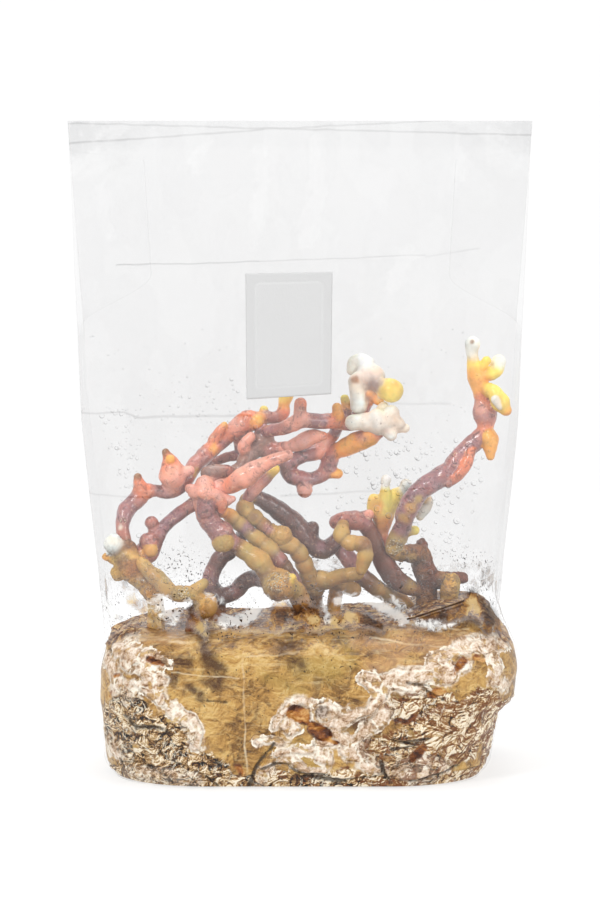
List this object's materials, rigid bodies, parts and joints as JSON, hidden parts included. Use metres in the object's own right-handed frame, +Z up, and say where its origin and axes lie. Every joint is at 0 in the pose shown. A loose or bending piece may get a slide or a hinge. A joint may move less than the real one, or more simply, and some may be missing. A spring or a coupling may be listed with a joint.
{
  "type": "reishi grow kit",
  "caption": "Clear gusseted film bag with a filter patch, holding a colonised sawdust block from which a tangle of antler reishi grows.",
  "frame": {"origin": "on the floor under the middle of the bag", "axes": "+Z up, the panel with the filter patch faces -Y, the bag's width runs along X"},
  "size_m": [0.25, 0.152, 0.35],
  "materials": {
    "clear_film": "clear, soft gloss, creased",
    "filter_membrane": "matte, light grey",
    "colonised_sawdust": "ochre skin with white mycelium and brown crevices",
    "purple_antler": "lacquered, purple brown",
    "coral_antler": "lacquered, coral to orange",
    "ochre_antler": "satin, ochre brown",
    "yellow_antler": "satin, yellow with pale tips",
    "pale_cap": "matte, creamy white"
  },
  "bodies": {
    "root": {"grow_bag": "clear_film", "filter_patch": "filter_membrane", "substrate_block": "colonised_sawdust", "left_mound": "ochre_antler", "left_arch": "coral_antler", "inner_left_stem": "purple_antler", "hub_stem": "ochre_antler", "front_branch": "coral_antler", "under_branch": "coral_antler", "dark_knob": "purple_antler", "pink_branch": "coral_antler", "upper_run": "purple_antler", "loop_run": "purple_antler", "lower_cap": "pale_cap", "upper_cap": "pale_cap", "right_antler": "purple_antler", "yellow_cluster": "yellow_antler", "cross_stem": "purple_antler", "dark_arch": "purple_antler", "ochre_leg": "ochre_antler", "low_branch": "ochre_antler", "worm_branch": "ochre_antler", "low_right_stem": "purple_antler", "dark_loop": "purple_antler", "ochre_long": "ochre_antler", "left_low_stem": "ochre_antler", "right_rough": "ochre_antler"}
  },
  "joints": []
}
